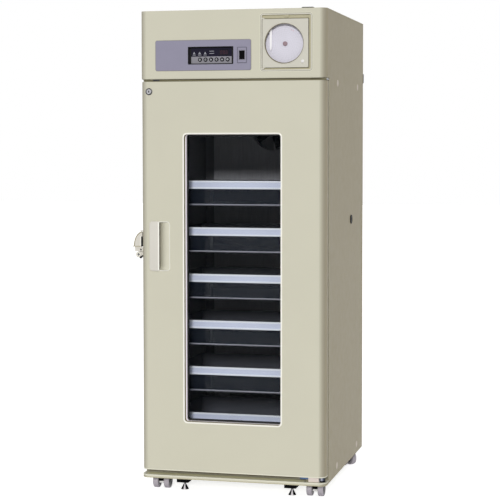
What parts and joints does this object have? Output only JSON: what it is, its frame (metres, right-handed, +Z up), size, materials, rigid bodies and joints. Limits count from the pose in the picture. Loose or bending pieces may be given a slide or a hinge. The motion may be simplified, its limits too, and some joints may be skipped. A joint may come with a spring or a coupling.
{
  "type": "blood bank refrigerator",
  "caption": "Upright blood storage refrigerator on casters, with a glazed door, a head panel with controls and a round chart recorder, and sliding drawers.",
  "frame": {"origin": "on the floor under the middle of the whole box", "axes": "+Z up, +X towards the hinge side, door front towards -Y"},
  "size_m": [0.821, 0.8715, 1.969],
  "materials": {
    "cream_paint": "satin",
    "chamber_lining": "brushed",
    "foam": "matt",
    "control_foil": "satin",
    "black_plastic": "matt",
    "pale_plastic": "satin",
    "chart_paper": "matt",
    "zinc_steel": "satin",
    "fin_aluminium": "satin",
    "black_enamel": "satin",
    "door_moulding": "satin",
    "window_glass": "polished",
    "seal_rubber": "matt",
    "handle_plastic": "satin",
    "lock_chrome": "polished",
    "foot_steel": "satin",
    "caster_steel": "satin",
    "caster_rubber": "matt",
    "key_plastic": "satin",
    "drawer_steel": "satin",
    "drawer_clear": "polished"
  },
  "bodies": {
    "cabinet": {"outer_case": "cream_paint", "inner_liner": "chamber_lining", "insulation_foam": "foam", "base_frame": "cream_paint", "head_panel": "cream_paint", "control_plate": "control_foil", "display_module": "black_plastic", "recorder_housing": "pale_plastic", "hinge_brackets": "zinc_steel", "drawer_runners": "zinc_steel", "air_duct": "chamber_lining", "evaporator_coil": "fin_aluminium", "compressor": "black_enamel", "condenser": "fin_aluminium", "rear_cover": "zinc_steel", "body_plugs": "black_plastic", "mount_plates": "black_enamel"},
    "door": {"door_skin": "cream_paint", "door_foam": "foam", "door_liner": "door_moulding", "window_glass": "window_glass", "door_gasket": "seal_rubber", "handle_insert": "handle_plastic", "latch_base": "handle_plastic"},
    "lock": {"door_lock": "lock_chrome"},
    "latch": {"latch_lever": "handle_plastic"},
    "rocker": {"rocker_switch": "black_plastic"},
    "chart_door": {"recorder_door": "pale_plastic"},
    "chart": {"chart_disc": "chart_paper"},
    "pen": {"pen_arm": "pale_plastic"},
    "cold_fan": {"evaporator_fan": "black_plastic"},
    "warm_fan": {"condenser_fan": "black_plastic"},
    "foot_l": {"foot_left": "foot_steel"},
    "foot_r": {"foot_right": "foot_steel"},
    "key_1": {"button_1": "key_plastic"},
    "key_2": {"button_2": "key_plastic"},
    "key_3": {"button_3": "key_plastic"},
    "key_4": {"button_4": "key_plastic"},
    "key_5": {"button_5": "key_plastic"},
    "key_6": {"button_6": "key_plastic"},
    "drawer_1": {"drawer_tray_1": "drawer_steel", "drawer_pane_1": "drawer_clear"},
    "drawer_2": {"drawer_tray_2": "drawer_steel", "drawer_pane_2": "drawer_clear"},
    "drawer_3": {"drawer_tray_3": "drawer_steel", "drawer_pane_3": "drawer_clear"},
    "drawer_4": {"drawer_tray_4": "drawer_steel", "drawer_pane_4": "drawer_clear"},
    "drawer_5": {"drawer_tray_5": "drawer_steel", "drawer_pane_5": "drawer_clear"},
    "drawer_6": {"drawer_tray_6": "drawer_steel", "drawer_pane_6": "drawer_clear"},
    "caster_front_left": {"fork_front_left": "caster_steel"},
    "roll_front_left": {"wheels_front_left": "caster_rubber"},
    "caster_front_right": {"fork_front_right": "caster_steel"},
    "roll_front_right": {"wheels_front_right": "caster_rubber"},
    "caster_rear_left": {"fork_rear_left": "caster_steel"},
    "roll_rear_left": {"wheels_rear_left": "caster_rubber"},
    "caster_rear_right": {"fork_rear_right": "caster_steel"},
    "roll_rear_right": {"wheels_rear_right": "caster_rubber"}
  },
  "joints": [
    {"name": "door_swing", "type": "hinge", "parent": "cabinet", "child": "door", "pos_m": [0.3845, -0.4035, 0.8865], "axis": [0, 0, 1], "range_deg": [0, 120]},
    {"name": "lock_turn", "type": "hinge", "parent": "door", "child": "lock", "pos_m": [-0.3255, -0.4305, 1.639], "axis": [0, 1, 0], "range_deg": [0, 90]},
    {"name": "latch_swing", "type": "hinge", "parent": "door", "child": "latch", "pos_m": [-0.373, -0.39, 0.996], "axis": [0, -1, 0], "range_deg": [0, 50]},
    {"name": "rocker_tilt", "type": "hinge", "parent": "cabinet", "child": "rocker", "pos_m": [0.06425, -0.4285, 1.7815], "axis": [-1, 0, 0], "range_deg": [0, 14]},
    {"name": "chart_door_swing", "type": "hinge", "parent": "cabinet", "child": "chart_door", "pos_m": [0.1506, -0.4255, 1.826], "axis": [0, 0, -1], "range_deg": [0, 100]},
    {"name": "chart_turn", "type": "hinge", "parent": "cabinet", "child": "chart", "pos_m": [0.235, -0.4065, 1.825], "axis": [0, 1, 0], "continuous": true},
    {"name": "pen_swing", "type": "hinge", "parent": "cabinet", "child": "pen", "pos_m": [0.178, -0.4155, 1.904], "axis": [0, 1, 0], "range_deg": [-10, 10]},
    {"name": "cold_fan_spin", "type": "hinge", "parent": "cabinet", "child": "cold_fan", "pos_m": [0.0215, 0.2815, 1.495], "axis": [0, 1, 0], "continuous": true},
    {"name": "warm_fan_spin", "type": "hinge", "parent": "cabinet", "child": "warm_fan", "pos_m": [0.1715, 0.1675, 1.814], "axis": [0, 1, 0], "continuous": true},
    {"name": "foot_left_screw", "type": "slide", "parent": "cabinet", "child": "foot_l", "axis": [0, 0, 1], "range_m": [0, 0.008]},
    {"name": "foot_right_screw", "type": "slide", "parent": "cabinet", "child": "foot_r", "axis": [0, 0, 1], "range_m": [0, 0.008]},
    {"name": "key_1_press", "type": "slide", "parent": "cabinet", "child": "key_1", "axis": [0, 1, 0], "range_m": [0, 0.002], "stiffness_N_per_m": 200},
    {"name": "key_2_press", "type": "slide", "parent": "cabinet", "child": "key_2", "axis": [0, 1, 0], "range_m": [0, 0.002], "stiffness_N_per_m": 200},
    {"name": "key_3_press", "type": "slide", "parent": "cabinet", "child": "key_3", "axis": [0, 1, 0], "range_m": [0, 0.002], "stiffness_N_per_m": 200},
    {"name": "key_4_press", "type": "slide", "parent": "cabinet", "child": "key_4", "axis": [0, 1, 0], "range_m": [0, 0.002], "stiffness_N_per_m": 200},
    {"name": "key_5_press", "type": "slide", "parent": "cabinet", "child": "key_5", "axis": [0, 1, 0], "range_m": [0, 0.002], "stiffness_N_per_m": 200},
    {"name": "key_6_press", "type": "slide", "parent": "cabinet", "child": "key_6", "axis": [0, 1, 0], "range_m": [0, 0.002], "stiffness_N_per_m": 200},
    {"name": "drawer_1_slide", "type": "slide", "parent": "cabinet", "child": "drawer_1", "axis": [0, -1, 0], "range_m": [0, 0.325]},
    {"name": "drawer_2_slide", "type": "slide", "parent": "cabinet", "child": "drawer_2", "axis": [0, -1, 0], "range_m": [0, 0.325]},
    {"name": "drawer_3_slide", "type": "slide", "parent": "cabinet", "child": "drawer_3", "axis": [0, -1, 0], "range_m": [0, 0.325]},
    {"name": "drawer_4_slide", "type": "slide", "parent": "cabinet", "child": "drawer_4", "axis": [0, -1, 0], "range_m": [0, 0.325]},
    {"name": "drawer_5_slide", "type": "slide", "parent": "cabinet", "child": "drawer_5", "axis": [0, -1, 0], "range_m": [0, 0.325]},
    {"name": "drawer_6_slide", "type": "slide", "parent": "cabinet", "child": "drawer_6", "axis": [0, -1, 0], "range_m": [0, 0.325]},
    {"name": "caster_front_left_swivel", "type": "hinge", "parent": "cabinet", "child": "caster_front_left", "pos_m": [-0.304, -0.3175, 0.065], "axis": [0, 0, 1], "continuous": true},
    {"name": "caster_front_left_roll", "type": "hinge", "parent": "caster_front_left", "child": "roll_front_left", "pos_m": [-0.304, -0.3335, 0.03], "axis": [1, 0, 0], "continuous": true},
    {"name": "caster_front_right_swivel", "type": "hinge", "parent": "cabinet", "child": "caster_front_right", "pos_m": [0.347, -0.3175, 0.065], "axis": [0, 0, 1], "continuous": true},
    {"name": "caster_front_right_roll", "type": "hinge", "parent": "caster_front_right", "child": "roll_front_right", "pos_m": [0.347, -0.3335, 0.03], "axis": [1, 0, 0], "continuous": true},
    {"name": "caster_rear_left_swivel", "type": "hinge", "parent": "cabinet", "child": "caster_rear_left", "pos_m": [-0.304, 0.2855, 0.065], "axis": [0, 0, 1], "continuous": true},
    {"name": "caster_rear_left_roll", "type": "hinge", "parent": "caster_rear_left", "child": "roll_rear_left", "pos_m": [-0.29174, 0.27521, 0.03], "axis": [0.6428, 0.766, 0], "continuous": true},
    {"name": "caster_rear_right_swivel", "type": "hinge", "parent": "cabinet", "child": "caster_rear_right", "pos_m": [0.347, 0.2855, 0.065], "axis": [0, 0, 1], "continuous": true},
    {"name": "caster_rear_right_roll", "type": "hinge", "parent": "caster_rear_right", "child": "roll_rear_right", "pos_m": [0.35926, 0.27521, 0.03], "axis": [0.6428, 0.766, 0], "continuous": true}
  ],
  "couplings": [
    {"joint": "drawer_1_slide", "follows": "door_swing", "m_per_rad": 0.15279},
    {"joint": "drawer_2_slide", "follows": "door_swing", "m_per_rad": 0.15279},
    {"joint": "drawer_3_slide", "follows": "door_swing", "m_per_rad": 0.15279},
    {"joint": "drawer_4_slide", "follows": "door_swing", "m_per_rad": 0.15279},
    {"joint": "drawer_5_slide", "follows": "door_swing", "m_per_rad": 0.15279},
    {"joint": "drawer_6_slide", "follows": "door_swing", "m_per_rad": 0.15279}
  ]
}
